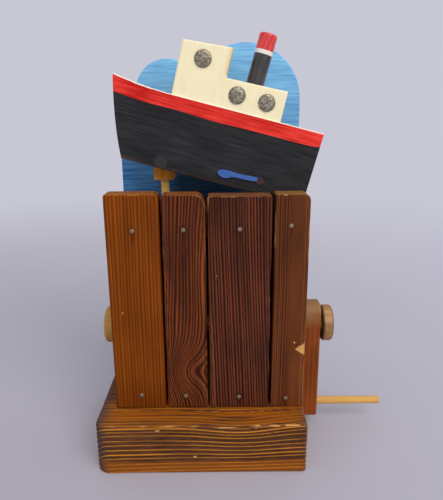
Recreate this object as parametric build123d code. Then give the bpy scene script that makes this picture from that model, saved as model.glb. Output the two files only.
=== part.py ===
from build123d import *
import os
from math import cos, hypot, pi, radians, sin

# Wooden crank automaton: a painted boat that rocks in front of a sky board.
# Millimetres. X runs along the front, +X to the crank side. Y runs to the back, +Z up.
# The origin is the centre of the underside of the base board.

# ---------------------------------------------------------------- base board
base_width = 159.0
base_depth = 114.0
base_height = 41.0
base_left_corner = 10.0      # upright front corner on the left, worn round
base_corner = 4.0            # the other upright corners
base_edge = 3.5              # rounding of the top edges

# ---------------------------------------------------------------- box
box_inset = 0.8              # from the base's crank side to the box
front_setback = 23.6         # from the base's front face to the planks
inside_depth = 56.4          # from the planks to the sky board
side_thickness = 12.0
rail_thickness = 19.0        # floor board and guide board
guide_top_height = 151.5     # guide board's top, over the base

# ---------------------------------------------------------------- front planks
plank_thickness = 16.0
plank_widths = (38.5, 30.9, 45.4, 25.1)
plank_gap = 1.7
plank_rises = (16.1, 15.6, 14.5, 15.6)      # planks' tops over the guide board
plank_left_corners = (2.0, 2.5, 1.5, 2.0)
plank_right_corners = (5.0, 7.5, 1.5, 5.0)
plank_edge = 1.2             # rounding of the long front edges

# ---------------------------------------------------------------- sky board
sky_thickness = 12.0
sky_offset = 1.0             # the sky board stands this far past the box's crank side
# cloud lobes: radius, and height of the middle over the guide board
left_lobe = (24.7, 63.5)
middle_lobe = (25.0, 86.3)
right_lobe = (43.7, 79.1)
middle_lobe_from_left = 39.4

# ---------------------------------------------------------------- nails and screws
nail_diameter = 2.2
nail_head_diameter = 3.2
nail_head_thickness = 0.8
nail_bite = 19.0             # plank nails' length in their rail
side_nail_bite = 16.0
# how far each hand-driven plank nail stands from its plank's middle and from its rail's middle
top_nail_shifts = ((0.2, -0.6), (-0.2, 0.0), (0.0, 0.3), (-0.8, 2.5))
bottom_nail_shifts = ((0.8, 1.8), (-1.6, 0.7), (-0.3, -0.3), (-1.1, -1.7))
side_nail_depths = (10.0, 46.0)      # behind the planks' back faces
side_nail_drop = 5.0                 # under the rail's middle, clear of the plank nails
screw_diameter = 3.5
screw_head_diameter = 7.0
screw_head_height = 2.8
sky_screw_bite = 20.0
sky_screw_end = 24.0         # outer screws from the side panels' ends
base_screw_bite = 16.0
base_screw_spread_x = 60.0
base_screw_spread_y = 36.0
base_screw_sink = 1.0        # heads over the base's underside

# ---------------------------------------------------------------- crank
shaft_diameter = 12.7
shaft_height = 51.8          # shaft's axis over the base
running_clearance = 0.08     # radial, of anything that turns or slides in a hole
disc_diameter = 29.8
left_disc_thickness = 11.8
right_disc_thickness = 8.6
disc_edge = 2.2
left_disc_gap = 1.6          # left end disc to the side panel
arm_gap = 0.8                # crank arm to the base's side
arm_thickness = 16.6
arm_width = 22.0
arm_head = 18.7              # arm's upper end over the shaft's axis
arm_foot = 7.6               # arm's lower end under the handle's axis
arm_corner = 7.0
arm_edge = 1.5
crank_throw = 73.6           # shaft's axis to handle's axis
right_disc_gap = 1.6         # crank arm to the right end disc
shaft_end_reach = 0.6        # shaft's ends past the discs
handle_diameter = 6.35
handle_reach = 56.0          # handle past the arm
handle_tip = 0.8

# ---------------------------------------------------------------- push rods and boat pins
rod_diameter = 6.35
pin_pitch = 72.5             # distance between the two pins in the hull
pin_tilt = 11.24             # tilt of the line through the pins, each way from level
left_pin_from_box = 39.3     # left pin from the box's left side
left_pin_diameter = 9.5
right_pin_diameter = 5.6
left_pin_proud = 0.3         # pin ends in front of the hull
right_pin_proud = 0.8
head_width = 14.8
head_below_pin = 14.9
head_above_pin = 10.0
head_rest_gap = 7.47         # guide board to a rod head at the bottom of its stroke
head_front_gap = 0.8         # hull's back to the rod heads
rod_socket = 7.0             # depth of the hole in a rod head
slot_spare = 0.4             # sideways play in the slot past the pin's swing
collar_thickness = 3.0
collar_wall = 3.0
collar_gap = 0.4

# ---------------------------------------------------------------- cams
cam_thickness = 12.0
cam_wall = 3.35              # shaft to the bottom of the notch
cam_gap = 0.3                # cam to the rod's round end
flank_steps = 12             # points along one flank
flank_end = 0.1              # radians before the crest where the flank's points stop

# ---------------------------------------------------------------- boat, in its own frame
# u runs along the deck towards the stern and v square to it, both from the left pin.
deck_tilt = -15.9            # stern down, with the left rod at the top of its stroke
hull_thickness = 16.0
hull_gap = 2.0               # planks' back to the hull's front
bow = (-46.0, 49.8)          # the deck falls from here in one bow to where it goes straight
bow_middle = (-27.0, 47.8)
deck_start = (-7.0, 47.1)
deck_end = (106.7, 49.9)
stem_points = ((-42.9, 37.5), (-38.8, 23.4), (-32.9, 6.7))
forefoot = (-27.8, -5.0)
keel_middle = (40.0, -4.2)
stern_foot = (107.4, -2.3)
hull_edge = 0.8
house_wall = 0.75            # deckhouse wood in front of and behind the funnel
house_left = (-4.0, -5.2)    # u at the deck and at the top
house_roof_v = (83.7, 87.5)  # tall part's roof at its left and right ends
house_step = (30.2, 67.6, 29.8)      # inner corner's u and v, and the tall part's u at its roof
house_right = (74.6, 73.8)   # u at the deck and at the low roof
low_roof_end_v = 70.2
house_edge = 1.2
funnel_diameter = 12.5
funnel_u = 50.4
funnel_top_v = 103.2
funnel_socket = 12.0         # funnel's depth in the deckhouse
funnel_edge = 1.6
stud_diameter = 12.1
stud_thickness = 1.9
stud_edge = 1.3
stud_shank_diameter = 2.0
stud_shank_length = 8.0
stud_places = ((11.2, 75.2), (40.2, 58.4), (61.5, 59.1))
blade_thickness = 1.4
# the blade's points are given from the right pin
blade_top = ((-31.4, -1.6), (-30.0, 0.1), (-27.3, 1.0), (-21.9, 1.2), (-15.3, 1.1), (-8.0, 1.7), (-2.2, 2.1))
blade_bottom = ((-2.2, -0.7), (-7.8, -1.6), (-14.3, -2.0), (-19.9, -2.5), (-24.0, -4.3), (-28.2, -4.2))

# ---------------------------------------------------------------- worked out from the above
base_front = -base_depth / 2
base_right = base_width / 2
box_width = sum(plank_widths) + (len(plank_widths) - 1) * plank_gap
plank_front = base_front + front_setback
plank_back = plank_front + plank_thickness
sky_front = plank_back + inside_depth
box_right = base_right - box_inset
box_left = box_right - box_width
inner_left = box_left + side_thickness
inner_right = box_right - side_thickness
floor_top = base_height + rail_thickness
guide_top = base_height + guide_top_height
guide_bottom = guide_top - rail_thickness
sky_left = box_left + sky_offset
shaft_y = plank_back + inside_depth / 2
shaft_z = base_height + shaft_height

lift = pin_pitch * sin(radians(pin_tilt))
pin_swing = pin_pitch * (1 - cos(radians(pin_tilt)))
left_pin_x = box_left + left_pin_from_box
right_pin_x = left_pin_x + pin_pitch * cos(radians(pin_tilt))
right_pin_z = guide_top + head_rest_gap + head_below_pin
left_pin_z = right_pin_z + lift
cam_low = shaft_diameter / 2 + cam_wall
cam_high = cam_low + lift
left_rod_x = left_pin_x
right_rod_x = right_pin_x + pin_swing / 2

hull_front = plank_back + hull_gap
hull_back = hull_front + hull_thickness
head_front = hull_back + head_front_gap
head_back = 2 * shaft_y - head_front
collar_front = head_back + collar_gap
collar_back = collar_front + collar_thickness
house_thickness = funnel_diameter + 2 * house_wall
house_front = hull_front + (hull_thickness - house_thickness) / 2
house_back = house_front + house_thickness

deck_slope = (deck_end[1] - deck_start[1]) / (deck_end[0] - deck_start[0])

arm_left = base_right + arm_gap
arm_right = arm_left + arm_thickness
right_disc_left = arm_right + right_disc_gap
right_disc_right = right_disc_left + right_disc_thickness
left_disc_right = box_left - left_disc_gap
left_disc_left = left_disc_right - left_disc_thickness
handle_z = shaft_z - crank_throw

boat_plane = Plane(
    origin=(left_pin_x, 0, left_pin_z),
    x_dir=(cos(radians(deck_tilt)), 0, sin(radians(deck_tilt))),
    z_dir=(0, -1, 0),
)


# ---------------------------------------------------------------- shapes used again and again
def block(x, y, z):
    """A block between two limits on each axis."""
    size = [high - low for low, high in (x, y, z)]
    middle = [(low + high) / 2 for low, high in (x, y, z)]
    return Pos(*middle) * Box(*size)


def peg_x(x, y, z, diameter):
    """A round peg along X between two limits."""
    middle = (x[0] + x[1]) / 2
    return Pos(middle, y, z) * Rot(0, 90, 0) * Cylinder(diameter / 2, x[1] - x[0])


def peg_y(x, y, z, diameter):
    """A round peg along Y between two limits."""
    middle = (y[0] + y[1]) / 2
    return Pos(x, middle, z) * Rot(90, 0, 0) * Cylinder(diameter / 2, y[1] - y[0])


def peg_z(x, y, z, diameter):
    """A round peg along Z between two limits."""
    middle = (z[0] + z[1]) / 2
    return Pos(x, y, middle) * Cylinder(diameter / 2, z[1] - z[0])


def cut_from_board(outline, front, back, plane=Plane.XZ):
    """Saw an outline out of a board that lies between two depths."""
    return extrude(Pos(0, back, 0) * (plane * outline), back - front)


def closed_face(*edges):
    return make_face(Wire(edges))


def on_boat(u, v):
    """The row X and Z of a point given in the boat's own frame."""
    place = boat_plane.from_local_coords((u, v, 0))
    return place.X, place.Z


def nail_y(x, z):
    """A nail driven into the front of the planks."""
    head = peg_y(x, (plank_front, plank_front + nail_head_thickness), z, nail_head_diameter)
    return head + peg_y(x, (plank_front, plank_back + nail_bite), z, nail_diameter)


def nail_x(y, z, outside, inward):
    """A nail driven into a side panel, from its outer face."""
    head = sorted((outside, outside + inward * nail_head_thickness))
    shank = sorted((outside, outside + inward * (side_thickness + side_nail_bite)))
    return peg_x(head, y, z, nail_head_diameter) + peg_x(shank, y, z, nail_diameter)


def screw(length):
    """A countersunk wood screw along +Z, with its head's flat face at the origin."""
    cone = Pos(0, 0, screw_head_height / 2) * Cone(
        screw_head_diameter / 2, screw_diameter / 2, screw_head_height
    )
    return cone + Pos(0, 0, length / 2) * Cylinder(screw_diameter / 2, length)


# ---------------------------------------------------------------- fasteners
def plank_lefts():
    """The left side of each plank."""
    return [box_left + sum(plank_widths[:i]) + i * plank_gap for i in range(len(plank_widths))]


def plank_nails():
    nails = []
    for i, left in enumerate(plank_lefts()):
        middle = left + plank_widths[i] / 2
        for shifts, rail_top in ((top_nail_shifts, guide_top), (bottom_nail_shifts, floor_top)):
            shift_x, shift_z = shifts[i]
            nails.append(nail_y(middle + shift_x, rail_top - rail_thickness / 2 + shift_z))
    return Compound(children=nails)


def side_nails():
    nails = []
    for outside, inward in ((box_left, 1), (box_right, -1)):
        for rail_top in (guide_top, floor_top):
            for depth in side_nail_depths:
                z = rail_top - rail_thickness / 2 - side_nail_drop
                nails.append(nail_x(plank_back + depth, z, outside, inward))
    return Compound(children=nails)


def backboard_screws():
    lowest = base_height + sky_screw_end
    highest = guide_top - sky_screw_end
    screws = []
    for x in ((box_left + inner_left) / 2, (box_right + inner_right) / 2):
        for z in (lowest, (lowest + highest) / 2, highest):
            place = Pos(x, sky_front + sky_thickness, z) * Rot(90, 0, 0)
            screws.append(place * screw(sky_thickness + sky_screw_bite))
    return Compound(children=screws)


def base_screw_places():
    for side in (-1, 1):
        for end in (-1, 1):
            x = (box_left + box_right) / 2 + side * base_screw_spread_x / 2
            yield x, shaft_y + end * base_screw_spread_y / 2


def base_screws():
    length = base_height - base_screw_sink + base_screw_bite
    places = base_screw_places()
    return Compound(children=[Pos(x, y, base_screw_sink) * screw(length) for x, y in places])


# ---------------------------------------------------------------- case
def base_board():
    y = (-base_depth / 2, base_depth / 2)
    board = block((-base_width / 2, base_width / 2), y, (0, base_height))
    uprights = board.edges().filter_by(Axis.Z)
    worn = uprights.sort_by(lambda edge: edge.center().X + edge.center().Y)[0]
    board = fillet(worn, base_left_corner)
    uprights = board.edges().filter_by(Axis.Z)
    sharp = [edge for edge in uprights if edge.center().X > 0 or edge.center().Y > 0]
    board = fillet(sharp, base_corner)
    board = fillet(board.faces().sort_by(Axis.Z)[-1].edges(), base_edge)
    for x, y in base_screw_places():
        board -= peg_z(x, y, (0, base_screw_sink), screw_head_diameter)
    return board - base_screws()


def front_plank(i, left):
    width = plank_widths[i]
    high = guide_top + plank_rises[i]
    plank = block((left, left + width), (plank_front, plank_back), (base_height, high))
    ends = plank.faces().sort_by(Axis.Z)[-1].edges().filter_by(Axis.Y).sort_by(Axis.X)
    plank = fillet(ends[0], plank_left_corners[i])
    ends = plank.edges().filter_by(Axis.Y).filter_by(lambda edge: edge.center().Z > floor_top)
    plank = fillet(ends.sort_by(Axis.X)[-1], plank_right_corners[i])
    front = plank.faces().sort_by(Axis.Y)[0]
    rounded = [edge for edge in front.edges() if edge.center().Z > base_height + plank_edge]
    return fillet(rounded, plank_edge) - plank_nails()


def side_panel(left):
    panel = block((left, left + side_thickness), (plank_back, sky_front), (base_height, guide_top))
    bore = shaft_diameter + 2 * running_clearance
    panel -= peg_x((left, left + side_thickness), shaft_y, shaft_z, bore)
    return panel - side_nails() - backboard_screws()


def floor_board():
    board = block((inner_left, inner_right), (plank_back, sky_front), (base_height, floor_top))
    return board - plank_nails() - side_nails() - base_screws()


def guide_board():
    board = block((inner_left, inner_right), (plank_back, sky_front), (guide_bottom, guide_top))
    for x in (left_rod_x, right_rod_x):
        bore = rod_diameter + 2 * running_clearance
        board -= peg_z(x, shaft_y, (guide_bottom, guide_top), bore)
    return board - plank_nails() - side_nails()


def sky_backboard():
    """A board with straight sides up to the outer lobes' middles, and round lobes above."""
    sky_right = sky_left + box_width
    left = (sky_left + left_lobe[0], guide_top + left_lobe[1])
    middle = (sky_left + middle_lobe_from_left, guide_top + middle_lobe[1])
    right = (sky_right - right_lobe[0], guide_top + right_lobe[1])
    cloud = make_face(Polyline(
        (sky_left, base_height), (sky_left, left[1]), middle, right,
        (sky_right, right[1]), (sky_right, base_height), close=True,
    ))
    for place, lobe in ((left, left_lobe), (middle, middle_lobe), (right, right_lobe)):
        cloud += Pos(*place) * Circle(lobe[0])
    board = cut_from_board(cloud, sky_front, sky_front + sky_thickness)
    return board - backboard_screws()


# ---------------------------------------------------------------- crank
def heart_outline():
    """A heart-shaped cam with its notch along +v. Its radius grows evenly over half a turn.

    Each flank is the path of the rod's round end, moved in by that end's radius.
    """
    rise = lift / pi
    tip_radius = rod_diameter / 2 + cam_gap
    flank = []
    for step in range(flank_steps):
        turn = step * (pi - flank_end) / (flank_steps - 1)
        reach = cam_low + tip_radius + rise * turn
        slope = hypot(reach, rise)
        along = reach - tip_radius * reach / slope
        across = tip_radius * rise / slope
        flank.append(
            (along * sin(turn) + across * cos(turn), along * cos(turn) - across * sin(turn))
        )
    crest = (0, -cam_high)
    other = [(-u, v) for u, v in flank]
    return closed_face(
        ThreePointArc(other[0], (0, cam_low), flank[0]),
        Spline(*flank),
        Line(flank[-1], crest),
        Line(crest, other[-1]),
        Spline(*reversed(other)),
    )


def cam(rod_x, notch_turn):
    """A cam under one push rod, with its notch turned from straight up."""
    face = Plane.YZ * (Rot(0, 0, notch_turn) * heart_outline())
    heart = Pos(rod_x - cam_thickness / 2, shaft_y, shaft_z) * extrude(face, cam_thickness)
    return heart - crank_shaft()


def crank_shaft():
    x = (left_disc_left - shaft_end_reach, right_disc_right + shaft_end_reach)
    return peg_x(x, shaft_y, shaft_z, shaft_diameter)


def end_disc(left, right):
    disc = peg_x((left, right), shaft_y, shaft_z, disc_diameter)
    disc = fillet(disc.edges().filter_by(GeomType.CIRCLE), disc_edge)
    return disc - crank_shaft()


def crank_arm():
    y = (shaft_y - arm_width / 2, shaft_y + arm_width / 2)
    arm = block((arm_left, arm_right), y, (handle_z - arm_foot, shaft_z + arm_head))
    arm = fillet(arm.faces().sort_by(Axis.Z)[-1].edges().filter_by(Axis.X), arm_corner)
    arm = fillet(arm.faces().sort_by(Axis.X)[-1].edges(), arm_edge)
    return arm - crank_shaft() - crank_handle()


def crank_handle():
    handle = peg_x((arm_left, arm_right + handle_reach), shaft_y, handle_z, handle_diameter)
    return fillet(handle.edges().sort_by(Axis.X)[-1], handle_tip)


# ---------------------------------------------------------------- push rods
def push_rod(x, pin_z, radius_under_rod):
    """A dowel with a round lower end over its cam, and its upper end in the rod head."""
    radius = rod_diameter / 2
    low = shaft_z + radius_under_rod + cam_gap
    high = pin_z - head_below_pin + rod_socket
    side = radius * sin(pi / 4)
    half = closed_face(
        ThreePointArc((0, low), (side, low + radius - side), (radius, low + radius)),
        Line((radius, low + radius), (radius, high)),
        Line((radius, high), (0, high)),
        Line((0, high), (0, low)),
    )
    return Pos(x, shaft_y, 0) * revolve(Plane.XZ * half, Axis.Z)


def rod_head(x, pin_x, pin_z, pin_diameter, swing):
    """The block on top of a push rod, with a round hole or a slot for its pin."""
    z = (pin_z - head_below_pin, pin_z + head_above_pin)
    head = block((x - head_width / 2, x + head_width / 2), (head_front, head_back), z)
    head -= peg_z(x, shaft_y, (z[0], z[0] + rod_socket), rod_diameter)
    hole = pin_diameter + 2 * running_clearance
    if swing == 0:
        return head - peg_y(pin_x, (head_front, head_back), pin_z, hole)
    play = swing / 2 + slot_spare
    for side in (-1, 1):
        head -= peg_y(x + side * play, (head_front, head_back), pin_z, hole)
    return head - block((x - play, x + play), (head_front, head_back), (pin_z - hole / 2, pin_z + hole / 2))


# ---------------------------------------------------------------- boat
def hull_pin(x, z, diameter, proud):
    return peg_y(x, (hull_front - proud, collar_back), z, diameter)


def left_hull_pin():
    return hull_pin(left_pin_x, left_pin_z, left_pin_diameter, left_pin_proud)


def right_hull_pin():
    return hull_pin(right_pin_x, right_pin_z, right_pin_diameter, right_pin_proud)


def pin_collars():
    rings = []
    pins = ((left_pin_x, left_pin_z, left_pin_diameter), (right_pin_x, right_pin_z, right_pin_diameter))
    for x, z, diameter in pins:
        ring = peg_y(x, (collar_front, collar_back), z, diameter + 2 * collar_wall)
        rings.append(ring - peg_y(x, (collar_front, collar_back), z, diameter))
    return Compound(children=rings)


def deck_height(u):
    """How high the straight part of the deck stands over the left pin."""
    return deck_start[1] + deck_slope * (u - deck_start[0])


def hull():
    outline = closed_face(
        ThreePointArc(bow, bow_middle, deck_start),
        Line(deck_start, deck_end),
        Line(deck_end, stern_foot),
        Spline(stern_foot, keel_middle, forefoot),
        Spline(forefoot, *reversed(stem_points), bow),
    )
    board = extrude(outline, hull_thickness)
    board = fillet(board.edges().filter_by(Axis.Z, reverse=True), hull_edge)
    board = Pos(0, hull_back, 0) * boat_plane.location * board
    return board - left_hull_pin() - right_hull_pin()


def deckhouse():
    corners = (
        (house_left[0], deck_height(house_left[0])),
        (house_left[1], house_roof_v[0]),
        (house_step[2], house_roof_v[1]),
        (house_step[0], house_step[1]),
        (house_right[1], low_roof_end_v),
        (house_right[0], deck_height(house_right[0])),
    )
    board = cut_from_board(make_face(Polyline(*corners, close=True)), house_front, house_back, boat_plane)
    deck = boat_plane.z_dir.cross(boat_plane.x_dir)
    upper = [edge for edge in board.faces().sort_by(Axis.Y)[0].edges() if above_deck(edge, deck)]
    board = fillet(upper, house_edge)
    return board - funnel() - porthole_studs()


def above_deck(edge, up):
    """True for an edge whose middle stands clear of the deck."""
    middle = edge.center() - boat_plane.origin
    return middle.dot(up) > deck_height(house_right[0]) + house_edge


def funnel():
    slope = (low_roof_end_v - house_step[1]) / (house_right[1] - house_step[0])
    roof_v = house_step[1] + slope * (funnel_u - house_step[0])
    low_v = roof_v - funnel_socket
    axis_y = (house_front + house_back) / 2
    x, z = on_boat(funnel_u, (low_v + funnel_top_v) / 2)
    dowel = Cylinder(funnel_diameter / 2, funnel_top_v - low_v)
    dowel = fillet(dowel.edges().sort_by(Axis.Z)[-1], funnel_edge)
    return Pos(x, axis_y, z) * Rot(0, -deck_tilt, 0) * dowel


def porthole_studs():
    studs = []
    for u, v in stud_places:
        x, z = on_boat(u, v)
        head = peg_y(x, (house_front - stud_thickness, house_front), z, stud_diameter)
        head = fillet(head.edges().filter_by(GeomType.CIRCLE).sort_by(Axis.Y)[0], stud_edge)
        studs.append(head + peg_y(x, (house_front, house_front + stud_shank_length), z, stud_shank_diameter))
    return Compound(children=studs)


def blue_blade():
    outline = closed_face(
        Spline(*blade_top),
        Line(blade_top[-1], blade_bottom[0]),
        Spline(*blade_bottom, blade_top[0]),
    )
    pin = boat_plane.to_local_coords(Vector(right_pin_x, 0, right_pin_z))
    outline = Pos(pin.X, pin.Y) * outline
    blade = cut_from_board(outline, hull_front - blade_thickness, hull_front, boat_plane)
    return blade - right_hull_pin()


def main():
    os.makedirs("parts", exist_ok=True)
    planks = {f"front_plank_{i + 1}": front_plank(i, left) for i, left in enumerate(plank_lefts())}
    nodes = {
        "base_board": base_board(),
        **planks,
        "plank_nails": plank_nails(),
        "left_side_panel": side_panel(box_left),
        "right_side_panel": side_panel(inner_right),
        "floor_board": floor_board(),
        "guide_board": guide_board(),
        "side_nails": side_nails(),
        "sky_backboard": sky_backboard(),
        "backboard_screws": backboard_screws(),
        "base_screws": base_screws(),
        "crank_shaft": crank_shaft(),
        "left_cam": cam(left_rod_x, 180),
        "right_cam": cam(right_rod_x, 0),
        "left_end_disc": end_disc(left_disc_left, left_disc_right),
        "right_end_disc": end_disc(right_disc_left, right_disc_right),
        "crank_arm": crank_arm(),
        "crank_handle": crank_handle(),
        "left_push_rod": push_rod(left_rod_x, left_pin_z, cam_high),
        "right_push_rod": push_rod(right_rod_x, right_pin_z, cam_low),
        "left_rod_head": rod_head(left_rod_x, left_pin_x, left_pin_z, left_pin_diameter, 0),
        "right_rod_head": rod_head(right_rod_x, right_pin_x, right_pin_z, right_pin_diameter, pin_swing),
        "hull": hull(),
        "left_hull_pin": left_hull_pin(),
        "right_hull_pin": right_hull_pin(),
        "pin_collars": pin_collars(),
        "deckhouse": deckhouse(),
        "funnel": funnel(),
        "porthole_studs": porthole_studs(),
        "blue_blade": blue_blade(),
    }
    for name, shape in nodes.items():
        export_step(shape, f"parts/{name}.step")
    print("lift", round(lift, 3), "left pin", round(left_pin_x, 3), round(left_pin_z, 3))
    print("shaft", round(shaft_y, 3), round(shaft_z, 3))


main()
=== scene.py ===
import math

import bmesh
import bpy
import numpy as np
from mathutils import Matrix, Vector


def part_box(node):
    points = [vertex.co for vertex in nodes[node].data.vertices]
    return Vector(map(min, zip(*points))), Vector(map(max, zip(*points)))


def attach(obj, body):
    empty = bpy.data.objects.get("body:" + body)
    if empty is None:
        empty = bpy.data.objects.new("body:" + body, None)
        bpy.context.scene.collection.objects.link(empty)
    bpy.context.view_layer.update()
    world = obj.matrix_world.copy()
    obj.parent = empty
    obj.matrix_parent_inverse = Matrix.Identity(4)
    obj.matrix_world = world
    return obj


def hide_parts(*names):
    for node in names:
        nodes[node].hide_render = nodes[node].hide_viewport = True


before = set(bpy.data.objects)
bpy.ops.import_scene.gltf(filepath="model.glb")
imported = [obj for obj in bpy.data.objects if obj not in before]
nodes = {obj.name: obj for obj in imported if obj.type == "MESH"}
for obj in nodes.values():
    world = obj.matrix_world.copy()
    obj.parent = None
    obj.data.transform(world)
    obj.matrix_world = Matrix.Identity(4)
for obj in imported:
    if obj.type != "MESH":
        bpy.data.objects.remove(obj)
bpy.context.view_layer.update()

# ---------------------------------------------------------------- camera, light and table
# The camera stands level with the boat and looks down 15 degrees on a toy about as tall as its
# distance. One broad lamp over the maker's right shoulder and an even room light do the rest.
# The toy stands on a table under a lavender-grey cloth, which runs up behind it without a line.
camera = bpy.data.objects.new("camera", bpy.data.cameras.new("camera"))
camera.data.sensor_fit = "VERTICAL"
camera.data.sensor_height = 36
camera.data.lens = 36
camera.data.clip_start = 0.01
aim = (
    Matrix.Rotation(math.radians(-0.18), 4, "Z")
    @ Matrix.Rotation(math.radians(90 - 15.38), 4, "X")
    @ Matrix.Rotation(math.radians(-0.38), 4, "Z")
)
camera.matrix_world = Matrix.Translation((0.0150, -0.3769, 0.2628)) @ aim
bpy.context.collection.objects.link(camera)
bpy.context.scene.camera = camera
bpy.context.scene.view_settings.view_transform = "Standard"


def linear(code):
    """Turn an sRGB hex colour to the linear colour that a shader takes."""
    channels = [int(code[i:i + 2], 16) / 255 for i in (1, 3, 5)]
    return [c / 12.92 if c <= 0.04045 else ((c + 0.055) / 1.055) ** 2.4 for c in channels] + [1]


def set_inputs(node, inputs):
    """Set a node's inputs: to a value, a hex colour, a socket, or another node's first live output."""
    for socket, value in inputs.items():
        if isinstance(value, bpy.types.Node):
            value = next(output for output in value.outputs if output.enabled)
        if isinstance(value, bpy.types.NodeSocket):
            node.id_data.links.new(value, node.inputs[socket])
        else:
            is_colour = isinstance(value, str) and value.startswith("#")
            node.inputs[socket].default_value = linear(value) if is_colour else value


def add_node(tree, kind, inputs=None, **settings):
    """Add one node with its settings and inputs. Shader nodes go by their kind's last word."""
    node = tree.nodes.new(kind if "Node" in kind else "ShaderNode" + kind)
    for setting, value in settings.items():
        setattr(node, setting, value)
    set_inputs(node, inputs or {})
    return node


def new_finish(name):
    """Start a material. Gives it, its node tree, its shader and the place on the piece."""
    material = bpy.data.materials.new(name)
    material.use_nodes = True
    tree = material.node_tree
    return material, tree, tree.nodes["Principled BSDF"], add_node(tree, "TexCoord").outputs["Object"]


lamp = bpy.data.objects.new("window_light", bpy.data.lights.new("window_light", "SUN"))
lamp.data.energy = 1.85
lamp.data.angle = math.radians(50)
lamp.data.color = (1.0, 0.985, 0.96)
lamp.rotation_euler = (math.radians(50), 0, math.radians(26))
bpy.context.collection.objects.link(lamp)

room = bpy.data.worlds.new("room")
room.use_nodes = True
bpy.context.scene.world = room
tree = room.node_tree
tree.nodes.clear()
seen = add_node(tree, "LightPath").outputs["Is Camera Ray"]
plain = add_node(tree, "Background", {"Color": "#F4F4FA", "Strength": 0.62})
cloth = add_node(tree, "Background", {"Color": "#C8C8D5", "Strength": 1.0})
either = add_node(tree, "MixShader", {0: seen, 1: plain, 2: cloth})
add_node(tree, "OutputWorld", {"Surface": either})

bpy.ops.mesh.primitive_circle_add(vertices=96, radius=4.0, fill_type="NGON")
table = bpy.context.object
table.name = "table_cloth"
# Cotton cloth, plain weave: matt, with broad faint folds, and painted light: it is coloured lighter towards the
# right, where more light falls. Far off it takes the room's own colour.
cotton, tree, shader, place = new_finish("lavender_cotton_plain_weave")
folds = add_node(tree, "TexNoise", {"Vector": place, "Scale": 5.0, "Detail": 3.0})
# painted light: the tint goes from darker on the left to lighter on the right
across = add_node(tree, "SeparateXYZ", {0: place}).outputs["X"]
across = add_node(tree, "MapRange", {"Value": across, "From Min": -0.5, "From Max": 0.5})
shade = add_node(tree, "Math", {0: folds, 1: 0.4, 2: across}, operation="MULTIPLY_ADD")
tint = add_node(tree, "Mix", {0: shade, 6: "#A7A2AD", 7: "#BFBCC9"}, data_type="RGBA")
set_inputs(shader, {"Base Color": tint, "Roughness": 0.9, "Specular IOR Level": 0.1})
away = add_node(tree, "VectorMath", {0: place}, operation="LENGTH")
fade = add_node(tree, "MapRange", {"Value": away, "From Min": 0.26, "From Max": 1.4}, interpolation_type="SMOOTHSTEP")
far_cloth = add_node(tree, "Emission", {"Color": "#C8C8D5"})
joined = add_node(tree, "MixShader", {0: fade, 1: shader, 2: far_cloth})
set_inputs(tree.nodes["Material Output"], {"Surface": joined})
table.data.materials.append(cotton)


# ---------------------------------------------------------------- base board
# A short end of softwood plank, scorched and wire-brushed so that its hard rings stand out as
# ridges, then oiled. Its left front corner is worn quite round and its top arris is rubbed.
def stations(low, high, step, fine):
    """Places along one side of a board, closer together near its two ends."""
    rim, cell = 0.00012, 0.0006
    near = np.array([0, rim, *np.arange(cell, fine, cell)])
    middle = np.linspace(fine, high - low - fine, max(2, round((high - low - 2 * fine) / step)))
    return low + np.concatenate([near, middle, (high - low) - near[::-1]])


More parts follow.
